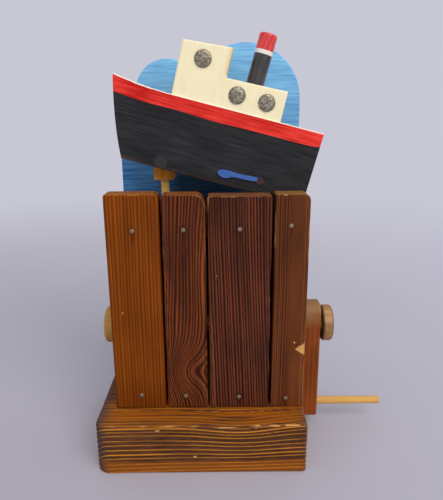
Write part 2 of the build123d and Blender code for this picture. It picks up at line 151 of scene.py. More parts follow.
def worn_board(name, box, axes, corners, arrises, steps, fine):
    """A closed board in one grid of squares.

    axes are the two axes of its outline and the axis of its thickness, corners the radii of the
    outline's four corners, and arrises the rounding of the outline's edge on its low and high face.
    The attribute "arris" is 1 on an arris and falls to 0 over a few millimetres.
    """
    sides = [stations(box[0][a], box[1][a], steps[i], fine[i]) for i, a in enumerate(axes)]
    count = [len(side) for side in sides]
    skin = np.zeros(count, bool)
    skin[[0, -1]] = skin[:, [0, -1]] = skin[:, :, [0, -1]] = True
    number = np.full(count, -1)
    number[skin] = np.arange(skin.sum())
    local = np.stack([side[index] for side, index in zip(sides, np.nonzero(skin))], 1)

    low = np.array([side[0] for side in sides])
    high = np.array([side[-1] for side in sides])
    inward = np.stack([gap for i in (0, 1) for gap in (local[:, i] - low[i], high[i] - local[:, i])], 1)
    nearest = inward.argmin(1)
    inset = inward.min(1)
    outward = np.array([(-1, 0), (1, 0), (0, -1), (0, 1)], float)[nearest]
    for (sign_a, sign_b), radius in zip(((-1, -1), (1, -1), (-1, 1), (1, 1)), corners):
        centre = [(high if sign > 0 else low)[i] - sign * radius for i, sign in enumerate((sign_a, sign_b))]
        a = (local[:, 0] - centre[0]) * sign_a
        b = (local[:, 1] - centre[1]) * sign_b
        inside = (a > 0) & (b > 0)
        reach = np.maximum(a, b)
        length = np.hypot(a, b)
        scale = np.where(inside, reach / np.maximum(length, 1e-9), 1)
        local[inside, 0] = centre[0] + (sign_a * a * scale)[inside]
        local[inside, 1] = centre[1] + (sign_b * b * scale)[inside]
        inset[inside] = (radius - reach)[inside]
        outward[inside, 0] = (sign_a * a / np.maximum(length, 1e-9))[inside]
        outward[inside, 1] = (sign_b * b / np.maximum(length, 1e-9))[inside]

    arris = np.zeros(len(local))
    for face, sign, radius in ((low[2], -1, arrises[0]), (high[2], 1, arrises[1])):
        depth = (face - local[:, 2]) * sign
        away = np.hypot(np.maximum(inset - radius * 0.3, 0), np.maximum(depth - radius * 0.3, 0))
        arris = np.maximum(arris, np.exp(-(away / 0.0016) ** 2))
        a, b = radius - inset, radius - depth
        inside = (a > 0) & (b > 0)
        scale = np.maximum(a, b) / np.maximum(np.hypot(a, b), 1e-9)
        local[inside, :2] += (outward * (a * scale - a)[:, None])[inside]
        local[inside, 2] = (face - sign * radius + sign * b * scale)[inside]

    faces = []
    for axis in range(3):
        for end in (0, -1):
            sheet = np.take(number, end, axis)
            if (end == 0) != (axis == 1):
                sheet = sheet.T
            squares = np.stack([sheet[:-1, :-1], sheet[1:, :-1], sheet[1:, 1:], sheet[:-1, 1:]], -1)
            faces.append(squares.reshape(-1, 4))
    faces = np.concatenate(faces)
    points = np.empty_like(local)
    points[:, axes] = local
    if (axes[1] - axes[0]) % 3 != 1:
        faces = faces[:, ::-1]
    mesh = bpy.data.meshes.new(name)
    mesh.from_pydata(points.tolist(), [], faces.tolist())
    mesh.shade_smooth()
    mesh.attributes.new("arris", "FLOAT", "POINT").data.foreach_set("value", arris)
    return mesh


def new_tree(name, result, start, vectors, numbers):
    """Start a Geometry Nodes tree with its result, its start and its named inputs, which it gives too."""
    tree = bpy.data.node_groups.new(name, "GeometryNodeTree")
    tree.interface.new_socket(name=result, in_out="OUTPUT", socket_type="NodeSocketGeometry")
    for kind, labels in (("Geometry", [start]), ("Vector", vectors), ("Float", numbers), ("Material", ["Finish"])):
        for label in labels:
            tree.interface.new_socket(name=label, in_out="INPUT", socket_type="NodeSocket" + kind)
    return tree, add_node(tree, "NodeGroupInput").outputs


def end_tree(tree, result, geometry, finish):
    """End a Geometry Nodes tree: put the finish on its geometry and hand it over."""
    finished = add_node(tree, "GeometryNodeSetMaterial", {"Geometry": geometry, "Material": finish})
    add_node(tree, "NodeGroupOutput", {result: finished})


# Geometry Nodes push the soft wood between the rings into the surface. The rings are cylinders
# round the tree's heart, bent a little by noise, so they wrap round corners and show as bows on
# the ends. The attribute "ridge" is 1 on a hard ring and 0 in the brushed-out soft wood.
grain, sizes = new_tree(
    "brushed_grain", "Board", "Board", ("Heart", "Grain direction", "Knot"),
    ("Ring spacing", "Uneven years", "Ridge height", "Hard share", "Wander", "Wander length", "Knot reach",
     "Knot push", "Smooth from", "Smooth to", "Seed"),
)
here = add_node(grain, "GeometryNodeInputPosition")
from_heart = add_node(grain, "VectorMath", {0: here, 1: sizes["Heart"]}, operation="SUBTRACT")
along = add_node(grain, "VectorMath", {0: from_heart, 1: sizes["Grain direction"]}, operation="DOT_PRODUCT")
lengthwise = add_node(grain, "VectorMath", {0: sizes["Grain direction"], "Scale": along}, operation="SCALE")
across = add_node(grain, "VectorMath", {0: from_heart, 1: lengthwise}, operation="SUBTRACT")
radius = add_node(grain, "VectorMath", {0: across}, operation="LENGTH")
drawn_out = add_node(grain, "VectorMath", {0: lengthwise, 1: (0.22, 0.22, 0.22), 2: across}, operation="MULTIPLY_ADD")
bends = add_node(grain, "Math", {0: 1.0, 1: sizes["Wander length"]}, operation="DIVIDE")
bend = add_node(
    grain, "TexNoise",
    {"Vector": drawn_out, "W": sizes["Seed"], "Scale": bends, "Detail": 2.0},
    noise_dimensions="4D",
)
bend_size = add_node(grain, "Math", {0: bend, 1: -0.5}, operation="ADD")
bent = add_node(grain, "Math", {0: bend_size, 1: sizes["Wander"], 2: radius}, operation="MULTIPLY_ADD")
# a knot under the surface pushes the rings aside in a smooth hump
knot_gap = add_node(grain, "VectorMath", {0: here, 1: sizes["Knot"]}, operation="DISTANCE")
knot_far = add_node(grain, "Math", {0: knot_gap, 1: sizes["Knot reach"]}, operation="DIVIDE")
knot_square = add_node(grain, "Math", {0: knot_far, 1: knot_far}, operation="MULTIPLY")
knot_fall = add_node(grain, "Math", {0: 0.37, 1: knot_square}, operation="POWER")
pushed = add_node(grain, "Math", {0: knot_fall, 1: sizes["Knot push"], 2: bent}, operation="MULTIPLY_ADD")
turns = add_node(grain, "Math", {0: pushed, 1: sizes["Ring spacing"]}, operation="DIVIDE")
# good and bad years: the rings are not all as wide as each other
years = add_node(grain, "TexNoise", {"W": turns, "Scale": 0.6, "Detail": 1.0}, noise_dimensions="1D")
grown = add_node(grain, "Math", {0: years, 1: sizes["Uneven years"], 2: turns}, operation="MULTIPLY_ADD")
ring = add_node(grain, "Math", {0: grown}, operation="FRACT")
soft_end = add_node(grain, "Math", {0: 1.0, 1: sizes["Hard share"]}, operation="SUBTRACT")
soft_start = add_node(grain, "Math", {0: sizes["Hard share"], 1: -2.0, 2: 1.0}, operation="MULTIPLY_ADD")
rise = add_node(
    grain, "MapRange",
    {"Value": ring, "From Min": soft_start, "From Max": soft_end},
    interpolation_type="SMOOTHSTEP",
)
fall = add_node(
    grain, "MapRange",
    {"Value": ring, "From Min": 0.86, "From Max": 1.0, "To Min": 1.0, "To Max": 0.0},
    interpolation_type="SMOOTHSTEP",
)
hard = add_node(grain, "Math", {0: rise, 1: fall}, operation="MULTIPLY")
uneven = add_node(
    grain, "TexNoise",
    {"Vector": drawn_out, "W": sizes["Seed"], "Scale": 70.0, "Detail": 1.0}, noise_dimensions="4D",
)
depth = add_node(
    grain, "MapRange",
    {"Value": uneven, "From Min": 0.3, "From Max": 0.6, "To Min": 0.35, "To Max": 1.0},
)
here_x = add_node(grain, "SeparateXYZ", {0: here}).outputs["X"]
brushed = add_node(
    grain, "MapRange",
    {"Value": here_x, "From Min": sizes["Smooth from"], "From Max": sizes["Smooth to"], "To Min": 1.0, "To Max": 0.0},
    interpolation_type="SMOOTHSTEP",
)
strength = add_node(grain, "Math", {0: depth, 1: brushed}, operation="MULTIPLY")
hollow = add_node(grain, "Math", {0: hard, 1: -1.0}, operation="ADD")
push = add_node(grain, "Math", {0: hollow, 1: strength}, operation="MULTIPLY")
inwards = add_node(grain, "Math", {0: push, 1: sizes["Ridge height"]}, operation="MULTIPLY")
normal = add_node(grain, "GeometryNodeInputNormal")
offset = add_node(grain, "VectorMath", {0: normal, "Scale": inwards}, operation="SCALE")
planed = add_node(grain, "Math", {0: brushed, 1: -0.75, 2: 0.75}, operation="MULTIPLY_ADD")
ridge = add_node(grain, "Math", {0: hard, 1: strength, 2: planed}, operation="MULTIPLY_ADD")
ridge_kept = add_node(
    grain, "GeometryNodeStoreNamedAttribute",
    {"Geometry": sizes["Board"], "Name": "ridge", "Value": ridge}, data_type="FLOAT", domain="POINT",
)
carved = add_node(grain, "GeometryNodeSetPosition", {"Geometry": ridge_kept, "Offset": offset})
whole = add_node(grain, "GeometryNodeRealizeInstances", {"Geometry": carved})
end_tree(grain, "Board", whole, sizes["Finish"])


def made_by(tree, name, start, values):
    """Run a Geometry Nodes tree on a mesh or a list of places. Keeps a plain mesh object."""
    if isinstance(start, list):
        places, start = start, bpy.data.meshes.new(name)
        start.from_pydata(places, [], [])
    piece = bpy.data.objects.new(name, start)
    bpy.context.collection.objects.link(piece)
    modifier = piece.modifiers.new(tree.name, "NODES")
    modifier.node_group = tree
    for socket in tree.interface.items_tree:
        if socket.in_out == "INPUT" and socket.name in values:
            modifier[socket.identifier] = values[socket.name]
    evaluated = piece.evaluated_get(bpy.context.evaluated_depsgraph_get())
    result = bpy.data.meshes.new_from_object(evaluated)
    piece.modifiers.remove(modifier)
    piece.data = result
    return piece


def streaks(tree, place, size, detail):
    """Noise whose spots are drawn out to these sizes in metres along X, Y and Z."""
    drawn_out = add_node(tree, "Mapping", {"Vector": place, "Scale": [1 / length for length in size]})
    return add_node(tree, "TexNoise", {"Vector": drawn_out, "Scale": 1.0, "Detail": detail})


def facing(tree):
    """How far the surface faces along X, Y and Z."""
    return add_node(tree, "SeparateXYZ", {0: add_node(tree, "TexCoord").outputs["Normal"]}).outputs


def brushed_softwood(name, soft, hard, rubbed, along, patches):
    """Softwood, scorched, wire-brushed and oiled.

    The soft wood has burnt and drunk the stain, the hard rings stay paler, and every arris that
    hands touch is rubbed back to bare wood. Oil leaves a low sheen on the ridges.
    """
    material, tree, shader, place = new_finish(name)
    # fibres 0.5 mm wide and 12 mm long, coarser than real ones so that they show
    fibre = streaks(tree, place, [0.012 if axis == along else 0.0005 for axis in "XYZ"], 3)
    # stain that took unevenly, in patches about 12 mm wide and 45 mm long
    patch = streaks(tree, place, [0.045 if axis == along else 0.012 for axis in "XYZ"], 4)
    ridge = add_node(tree, "Attribute", attribute_name="ridge").outputs["Fac"]
    ripple = add_node(tree, "Math", {0: fibre, 1: 0.5, 2: ridge}, operation="MULTIPLY_ADD")
    shown = add_node(tree, "MapRange", {"Value": ripple, "From Min": 0.2, "From Max": 1.2})
    rings = add_node(tree, "Mix", {0: shown, 6: soft, 7: hard}, data_type="RGBA")
    bright = add_node(
        tree, "MapRange",
        {"Value": patch, "From Min": 0.3, "From Max": 0.7, "To Min": 1 - patches, "To Max": 1 + patches},
    )
    stained = add_node(tree, "VectorMath", {0: rings, "Scale": bright}, operation="SCALE")
    dark = add_node(tree, "Attribute", attribute_name="stain").outputs["Fac"]
    lit = add_node(tree, "Math", {0: dark, 1: -0.6, 2: 1.0}, operation="MULTIPLY_ADD")
    stained = add_node(tree, "VectorMath", {0: stained, "Scale": lit}, operation="SCALE")
    # bare wood shows in patches along an arris, and where a chip has come away
    arris = add_node(tree, "Attribute", attribute_name="arris").outputs["Fac"]
    chip = add_node(tree, "Attribute", attribute_name="chip").outputs["Fac"]
    speckle = streaks(tree, place, [0.016 if axis == along else 0.005 for axis in "XYZ"], 4)
    # hands rub the top of an upright board more than its foot
    height = add_node(tree, "SeparateXYZ", {0: place}).outputs["Z"]
    touched = add_node(
        tree, "MapRange",
        {"Value": height, "From Min": 0.12, "From Max": 0.20, "To Min": 0.78 if along == "Z" else 1.0},
    )
    arris = add_node(tree, "Math", {0: arris, 1: touched}, operation="MULTIPLY")
    bare = add_node(tree, "Math", {0: arris, 1: speckle}, operation="MULTIPLY")
    rub = add_node(tree, "MapRange", {"Value": bare, "From Min": 0.5, "From Max": 0.66, "To Max": 0.7})
    torn = add_node(tree, "Math", {0: fibre, 1: 0.5, 2: chip}, operation="MULTIPLY_ADD")
    torn = add_node(tree, "MapRange", {"Value": torn, "From Min": 0.7, "From Max": 0.85})
    rub = add_node(tree, "Math", {0: rub, 1: torn}, operation="MAXIMUM")
    # the sawn ends were only wiped with stain
    endwise = facing(tree)[along]
    sawn = add_node(tree, "MapRange", {"Value": endwise, "From Min": 0.55, "From Max": 0.85, "To Max": 0.34})
    rub = add_node(tree, "Math", {0: rub, 1: sawn}, operation="MAXIMUM")
    coloured = add_node(tree, "Mix", {0: rub, 6: stained, 7: rubbed}, data_type="RGBA")
    sheen = add_node(tree, "MapRange", {"Value": ridge, "To Min": 0.75, "To Max": 0.5})
    bump = add_node(tree, "Bump", {"Height": fibre, "Distance": 0.00012, "Strength": 0.6})
    set_inputs(shader, {"Base Color": coloured, "Roughness": sheen, "Specular IOR Level": 0.12, "Normal": bump})
    return material


def mark(mesh, name, spots, sink=0):
    """Mark spots on a board as an attribute: each is a middle and a reach along X, Y and Z."""
    count = len(mesh.vertices)
    points, normals = np.empty(count * 3), np.empty(count * 3)
    mesh.vertices.foreach_get("co", points)
    mesh.vertices.foreach_get("normal", normals)
    points, normals = points.reshape(-1, 3), normals.reshape(-1, 3)
    amount = np.zeros(count)
    for middle, reach in spots:
        amount = np.maximum(amount, np.exp(-(((points - middle) / reach) ** 2).sum(1)))
    mesh.attributes.new(name, "FLOAT", "POINT").data.foreach_set("value", amount)
    mesh.vertices.foreach_set("co", (points - normals * (amount * sink)[:, None]).ravel())


def reopen(material):
    """Go on with a finished material. Gives its tree, its shader, the place and the colour so far."""
    tree = material.node_tree
    shader = tree.nodes["Principled BSDF"]
    place = add_node(tree, "TexCoord").outputs["Object"]
    return tree, shader, place, shader.inputs["Base Color"].links[0].from_socket


# Pine, the thick end of a plank: amber ridges between purple-brown soft wood, with painted shade darkening both
# rounded front corners, and one broad amber band low on the front. Its top has amber patches, partly the wood's own
# and partly painted light on the lit top.
base_pine = brushed_softwood("scorched_pine_amber_ridges", "#40241E", "#D08624", "#CC9858", "X", 0.22)
tree, shader, place, oiled = reopen(base_pine)
spot = add_node(tree, "SeparateXYZ", {0: place}).outputs
wavy = streaks(tree, place, (0.040, 0.020, 0.006), 3)
low_line = add_node(tree, "Math", {0: wavy, 1: 0.008, 2: spot["Z"]}, operation="MULTIPLY_ADD")
band = add_node(tree, "MapRange", {"Value": low_line, "From Min": 0.0155, "From Max": 0.0125, "To Max": 0.46})
# partly painted light: amber patches only on upward faces, lighter than the front where the top takes more light;
# partly the wood's own amber
top = add_node(tree, "MapRange", {"Value": facing(tree)["Z"], "From Min": 0.35, "From Max": 0.9})
long_patch = streaks(tree, place, (0.070, 0.0035, 0.010), 3)
top_amber_and_painted_light = add_node(tree, "MapRange", {"Value": long_patch, "From Min": 0.38, "From Max": 0.56, "To Max": 0.72})
top_amber_and_painted_light = add_node(tree, "Math", {0: top, 1: top_amber_and_painted_light}, operation="MULTIPLY")
band = add_node(tree, "Math", {0: band, 1: top_amber_and_painted_light}, operation="MAXIMUM")
amber = add_node(tree, "Mix", {0: band, 6: oiled, 7: "#AA5C08"}, data_type="RGBA")
# painted shade: both rounded front corners darken to purple-grey, less where the surface faces the ends
to_end = add_node(tree, "Math", {0: spot["X"], 1: 0.003}, operation="SUBTRACT")
to_end = add_node(tree, "Math", {0: to_end}, operation="ABSOLUTE")
to_end = add_node(tree, "Math", {0: wavy, 1: 0.010, 2: to_end}, operation="MULTIPLY_ADD")
painted_corner_shade = add_node(
    tree, "MapRange",
    {"Value": to_end, "From Min": 0.075, "From Max": 0.085, "To Max": 0.78}, interpolation_type="SMOOTHSTEP",
)
endwise = add_node(tree, "Math", {0: facing(tree)["X"]}, operation="ABSOLUTE")
kept = add_node(tree, "MapRange", {"Value": endwise, "From Min": 0.8, "From Max": 0.95, "To Min": 1.0, "To Max": 0.3})
painted_corner_shade = add_node(tree, "Math", {0: painted_corner_shade, 1: kept}, operation="MULTIPLY")
# scorched wood, with the painted corner shade mixed in
burnt = add_node(tree, "Mix", {0: painted_corner_shade, 6: amber, 7: "#4C3C3A"}, data_type="RGBA")
set_inputs(shader, {"Base Color": burnt})
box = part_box("base_board")
mesh = worn_board(
    "base_board_brushed", box, (0, 1, 2), (0.010, 0.004, 0.004, 0.004), (0.0006, 0.0035),
    (0.0018, 0.0009, 0.0004), (0.011, 0.011, 0.004),
)
# chips along the front arris, a knot and one scratch
mark(mesh, "chip", (
    ((0.0420, -0.0560, 0.0400), (0.0022, 0.002, 0.0007)), ((0.0545, -0.0560, 0.0400), (0.0055, 0.002, 0.0006)),
    ((0.0680, -0.0560, 0.0402), (0.0080, 0.002, 0.0005)), ((0.0180, -0.0562, 0.0388), (0.0160, 0.002, 0.0004)),
    ((-0.0324, -0.0565, 0.0365), (0.0028, 0.002, 0.0006)), ((-0.0049, -0.0570, 0.0142), (0.0016, 0.002, 0.0009)),
    ((0.0052, -0.0570, 0.0075), (0.0004, 0.002, 0.0035)),
), sink=0.0005)
base_board = made_by(grain, "base_board_brushed", mesh, {
    "Heart": (0.0, -0.200, -0.120), "Grain direction": Vector((1, 0.012, 0.006)).normalized(),
    "Ring spacing": 0.0026, "Uneven years": 0.9, "Ridge height": 0.0006, "Hard share": 0.17, "Wander": 0.008,
    "Wander length": 0.055, "Knot": (0.030, -0.060, 0.052), "Knot reach": 0.030, "Knot push": 0.005,
    "Smooth from": 1.0, "Smooth to": 2.0, "Seed": 3.1, "Finish": base_pine,
})
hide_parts("base_board")
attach(base_board, "case")


# ---------------------------------------------------------------- front planks
# Four sawn softwood laths of different widths, stood on end and nailed to the rails behind them.
# Each was scorched, brushed and stained by itself, so no two have the same brown or the same
# ridges, and their upper corners were rounded by eye.
plank_finishes = (
    # Douglas fir, quarter-sawn and lightly brushed: amber with soft dark streaks
    brushed_softwood("brushed_fir_amber", "#642A00", "#864300", "#BC8034", "Z", 0.14),
    # pine, sawn near the heart: fine red-brown ridges over near-black soft wood
    brushed_softwood("scorched_pine_red_brown", "#2C1008", "#7E3E1A", "#B8743C", "Z", 0.18),
    # larch, deeply brushed: the darkest board, with narrow ridges
    brushed_softwood("scorched_larch_dark", "#240E0A", "#743A22", "#B0784A", "Z", 0.16),
    # pine, planed smooth on one half: mahogany stain
    brushed_softwood("stained_pine_mahogany", "#44200E", "#703A18", "#C89858", "Z", 0.26),
)
plank_grains = [dict(zip(
    ("Heart", "Grain direction", "Ring spacing", "Ridge height", "Hard share", "Wander", "Wander length", "Seed"),
    row,
)) for row in (
    ((-0.200, 0.060, 0.0), (0.006, 0.0, 1), 0.0021, 0.00015, 0.40, 0.004, 0.050, 1.3),
    ((-0.065, 0.010, 0.0), (0.01, -0.02, 1), 0.0019, 0.0005, 0.36, 0.012, 0.028, 7.9),
    ((-0.120, 0.050, 0.0), (0.035, 0.0, -1), 0.0019, 0.0005, 0.36, 0.006, 0.050, 4.2),
    ((0.220, 0.080, 0.0), (0.008, 0.0, 1), 0.0015, 0.0003, 0.33, 0.005, 0.050, 9.4),
)]
plank_grains[1].update({"Knot": (-0.0100, -0.033, 0.072), "Knot reach": 0.017, "Knot push": 0.011})
plank_grains[3].update({"Smooth from": 0.062, "Smooth to": 0.069})
plank_corners = ((0.0020, 0.005), (0.0025, 0.0075), (0.0015, 0.0015), (0.002, 0.005))


def on_front(x, z, width, height):
    """A spot on the planks' front face for mark."""
    return (x, -0.0334, z), (width, 0.002, height)


plank_chips = (
    [on_front(-0.0572, 0.1203, 0.0009, 0.0014)],
    [],
    [on_front(0.0447, 0.1348, 0.0006, 0.0008), on_front(0.0124, 0.1480, 0.0006, 0.0010)],
    [
        *(on_front(0.0783 - 0.0012 * i, 0.0903, 0.0012, 0.0064 - 0.0010 * i) for i in range(6)),
        on_front(0.0705, 0.0960, 0.0010, 0.0012), on_front(0.0787, 0.0650, 0.0006, 0.0220),
        on_front(0.0787, 0.1030, 0.0005, 0.0120),
    ],
)
# two boards took more stain, one at its foot and one at its top
plank_stains = (
    [((-0.0480, -0.0454, 0.0450), (0.0250, 0.0120, 0.0220))], [], [],
    [((0.0700, -0.0434, 0.1830), (0.0140, 0.0120, 0.0400))],
)
# nails have let a dark streak run down from each head
nails_in_plank = (
    ((-0.04685, 0.1824), (-0.04625, 0.0523)), ((-0.01085, 0.1830), (-0.01225, 0.0512)),
    ((0.02920, 0.1833), (0.02890, 0.0502)), ((0.06535, 0.1855), (0.06505, 0.0488)),
)
for i, (finish, rings, (left, right)) in enumerate(zip(plank_finishes, plank_grains, plank_corners)):
    name = f"front_plank_{i + 1}"
    mesh = worn_board(
        name + "_brushed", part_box(name), (0, 2, 1), (0.0012, 0.0012, left, right), (0.0012, 0.0005),
        (0.00034, 0.0018, 0.0010), (max(left, 0.003), 0.011, 0.0015),
    )
    mark(mesh, "chip", plank_chips[i], sink=0.0006)
    rust_runs = [
        spot for x, z in nails_in_plank[i]
        for spot in (on_front(x, z, 0.0026, 0.0026), on_front(x, z - 0.004, 0.0009, 0.005))
    ]
    mark(mesh, "stain", plank_stains[i] + rust_runs)
    plank = made_by(grain, name + "_brushed", mesh, {
        "Smooth from": 1.0, "Smooth to": 2.0, "Uneven years": 0.9, "Finish": finish,
        **rings, "Grain direction": Vector(rings["Grain direction"]).normalized(),
    })
    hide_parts(name)
    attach(plank, "case")


# ---------------------------------------------------------------- nails
# Cut wire nails, driven by hand: two through every plank and four through each side panel. Their
# flat heads sit a little askew in the wood, dented by the hammer and gone dull and brown.
def put_at_places(tree, sizes, piece, spin=None):
    """Put a copy of a piece at every place, with its axis along Facing, and spin it there."""
    heading = add_node(tree, "FunctionNodeEulerToRotation", {0: sizes["Facing"]})
    if spin:
        spun = add_node(tree, "FunctionNodeEulerToRotation", {0: spin})
        heading = add_node(tree, "FunctionNodeRotateRotation", {0: heading, 1: spun}, rotation_space="LOCAL")
    copies = {"Points": sizes["Places"], "Instance": piece, "Rotation": heading}
    placed = add_node(tree, "GeometryNodeInstanceOnPoints", copies)
    return add_node(tree, "GeometryNodeRealizeInstances", {"Geometry": placed})


nail_head, sizes = new_tree(
    "driven_nail_heads", "Heads", "Places", ("Facing",),
    ("Head diameter", "Head thickness", "Crown", "Lean", "Dents"),
)
half = add_node(nail_head, "Math", {0: sizes["Head diameter"], 1: 0.5}, operation="MULTIPLY")
disc = add_node(
    nail_head, "GeometryNodeMeshCylinder",
    {"Vertices": 24, "Side Segments": 2, "Fill Segments": 5, "Radius": half, "Depth": sizes["Head thickness"]},
    fill_type="TRIANGLE_FAN",
)
here = add_node(nail_head, "GeometryNodeInputPosition")
from_axis = add_node(nail_head, "VectorMath", {0: here, 1: (1, 1, 0)}, operation="MULTIPLY")
radius = add_node(nail_head, "VectorMath", {0: from_axis}, operation="LENGTH")
share = add_node(nail_head, "Math", {0: radius, 1: half}, operation="DIVIDE")
square = add_node(nail_head, "Math", {0: share, 1: 2.0}, operation="POWER")
dome = add_node(nail_head, "Math", {0: 1.0, 1: square}, operation="SUBTRACT")
upper = add_node(nail_head, "SeparateXYZ", {0: here}).outputs["Z"]
is_top = add_node(nail_head, "Math", {0: upper, 1: 0.0}, operation="GREATER_THAN")
raised = add_node(nail_head, "Math", {0: dome, 1: is_top}, operation="MULTIPLY")
crown = add_node(nail_head, "Math", {0: raised, 1: sizes["Crown"]}, operation="MULTIPLY")
up = add_node(nail_head, "CombineXYZ", {"Z": crown})
crowned = add_node(nail_head, "GeometryNodeSetPosition", {"Geometry": disc, "Offset": up})
turn = add_node(
    nail_head, "FunctionNodeRandomValue",
    {"Min": (-1.0, -1.0, -3.1), "Max": (1.0, 1.0, 3.1), "Seed": 5}, data_type="FLOAT_VECTOR",
)
lean = add_node(nail_head, "CombineXYZ", {"X": sizes["Lean"], "Y": sizes["Lean"], "Z": 1.0})
turned = add_node(nail_head, "VectorMath", {0: turn, 1: lean}, operation="MULTIPLY")
whole = put_at_places(nail_head, sizes, crowned, turned)
blows = add_node(nail_head, "TexNoise", {"Scale": 900.0, "Detail": 1.0})
blow = add_node(nail_head, "VectorMath", {0: blows.outputs["Color"], 1: (-0.5, -0.5, -0.5)}, operation="ADD")
dented = add_node(nail_head, "VectorMath", {0: blow, "Scale": sizes["Dents"]}, operation="SCALE")
hammered = add_node(nail_head, "GeometryNodeSetPosition", {"Geometry": whole, "Offset": dented})
smooth = add_node(nail_head, "GeometryNodeSetShadeSmooth", {"Geometry": hammered})
end_tree(nail_head, "Heads", smooth, sizes["Finish"])

# Mild steel, drawn and cut, never plated: grey-tan where it is rubbed, brown where it has rusted.
steel, tree, shader, place = new_finish("weathered_nail_steel")
rust = streaks(tree, place, (0.0012, 0.0012, 0.0012), 3)
mixed = add_node(tree, "Mix", {0: rust, 6: "#5A4030", 7: "#A89880"}, data_type="RGBA")
dull = add_node(tree, "MapRange", {"Value": rust, "To Min": 0.7, "To Max": 0.4})
set_inputs(shader, {"Base Color": mixed, "Metallic": 0.55, "Roughness": dull})

nail_sizes = {
    "Head diameter": 0.0032, "Head thickness": 0.0008, "Crown": 0.00025, "Lean": 0.07, "Dents": 0.0003,
    "Finish": steel,
}
places = [(x, -0.0332, z) for pair in nails_in_plank for x, z in pair]
nails = made_by(nail_head, "plank_nail_heads", places, {**nail_sizes, "Facing": (math.pi / 2, 0, 0)})
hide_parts("plank_nails")
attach(nails, "case")

low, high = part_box("side_nails")
for side, x, turned in (("left", low.x, -math.pi / 2), ("right", high.x, math.pi / 2)):
    places = [(x, y, z) for y in (-0.0074, 0.0286) for z in (0.0455, 0.1780)]
    nails = made_by(nail_head, "side_nail_heads_" + side, places, {**nail_sizes, "Facing": (0, turned, 0)})
    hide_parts("side_nails")
    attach(nails, "case")


# ---------------------------------------------------------------- box
# Two side panels, a floor board and a guide board for the push rods, of the same softwood but only
# stained. They are bored for the crank shaft and the rods, so they keep the shapes they were cut to.
def stained_softwood(name, dark, light, along, heart, spacing, contrast):
    """Planed softwood under a thin stain.

    The rings show as colour only, light between dark lines, with fine fibres and a dull surface.
    """
    material, tree, shader, place = new_finish(name)
    drawn_out = add_node(
        tree, "Mapping",
        {"Vector": place, "Location": [-v for v in heart], "Scale": [0.15 if axis == along else 1 for axis in "XYZ"]},
    )
    # how far apart a wave texture's crests are at scale 1
    wave_length = 0.314
    rings = add_node(
        tree, "TexWave",
        {"Vector": drawn_out, "Scale": wave_length / spacing, "Distortion": 1.6, "Detail": 2.0, "Detail Scale": 0.25},
        wave_type="RINGS", rings_direction=along, wave_profile="SAW",
    )
    fibre = streaks(tree, place, [0.012 if axis == along else 0.0006 for axis in "XYZ"], 3)
    patch = streaks(tree, place, [0.050 if axis == along else 0.014 for axis in "XYZ"], 3)
    late = add_node(tree, "Math", {0: rings.outputs["Fac"], 1: 3.0}, operation="POWER")
    ringed = add_node(tree, "Math", {0: late, 1: contrast, 2: patch}, operation="MULTIPLY_ADD")
    shown = add_node(tree, "Math", {0: fibre, 1: 0.35, 2: ringed}, operation="MULTIPLY_ADD")
    tone = add_node(tree, "MapRange", {"Value": shown, "From Min": 0.35, "From Max": 1.15})
    mixed = add_node(tree, "Mix", {0: tone, 6: light, 7: dark}, data_type="RGBA")
    bump = add_node(tree, "Bump", {"Height": fibre, "Distance": 0.0001, "Strength": 0.5})
    set_inputs(shader, {"Base Color": mixed, "Roughness": 0.65, "Specular IOR Level": 0.12, "Normal": bump})
    return material


def dress(finish, *names):
    """Put a material on pieces that keep the shapes they were cut to."""
    for name in names:
        nodes[name].data.materials.clear()
        nodes[name].data.materials.append(finish)


# Pine, planed on four sides and stained brown: flat rings, a dull face.
case_pine = stained_softwood("stained_case_pine", "#4A2614", "#84502A", "Z", (-0.05, 0.12, 0.0), 0.0040, 0.5)
case_pine_level = stained_softwood("stained_rail_pine", "#4A2614", "#84502A", "X", (0.0, 0.02, 0.30), 0.0040, 0.5)
dress(case_pine, "left_side_panel", "right_side_panel")
dress(case_pine_level, "floor_board", "guide_board")


# ---------------------------------------------------------------- sky board
# A board bandsawn to three round cloud lobes, painted sky blue with a broad brush worked from side
# to side, paler towards the top, and screwed to the back ends of the side panels.
low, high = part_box("sky_backboard")
lobes = (((low.x + 0.0247, 0.2560), 0.0247), ((low.x + 0.0394, 0.2788), 0.0250), ((high.x - 0.0437, 0.2716), 0.0437))
crossings = []
for (first, first_radius), (second, second_radius) in zip(lobes, lobes[1:]):
    step = np.subtract(second, first)
    apart = np.hypot(*step)
    along = (apart ** 2 + first_radius ** 2 - second_radius ** 2) / (2 * apart)
    aside = math.sqrt(first_radius ** 2 - along ** 2)
    crossings.append(np.add(first, step / apart * along) + np.array([-step[1], step[0]]) / apart * aside)
starts = [(low.x, lobes[0][0][1]), *crossings]
ends = [*crossings, (high.x, lobes[2][0][1])]
outline = [(low.x, low.z)]
for ((centre, radius), start, end) in zip(lobes, starts, ends):
    first = math.atan2(start[1] - centre[1], start[0] - centre[0]) % (2 * math.pi)
    last = math.atan2(end[1] - centre[1], end[0] - centre[0])
    steps = max(2, round((first - last) * radius / 0.0015))
    for i in range(steps + 1):
        angle = first + (last - first) * i / steps
        outline.append((centre[0] + radius * math.cos(angle), centre[1] + radius * math.sin(angle)))
outline.append((high.x, low.z))
board = bmesh.new()
front = board.faces.new([board.verts.new((x, low.y, z)) for x, z in outline])
back = bmesh.ops.extrude_face_region(board, geom=[front])["geom"]
bmesh.ops.translate(board, verts=[v for v in back if isinstance(v, bmesh.types.BMVert)], vec=(0, high.y - low.y, 0))
bmesh.ops.remove_doubles(board, verts=board.verts, dist=1e-6)
bmesh.ops.recalc_face_normals(board, faces=board.faces)
rims = [edge for edge in board.edges if abs(edge.verts[0].co.y - edge.verts[1].co.y) < 1e-6]
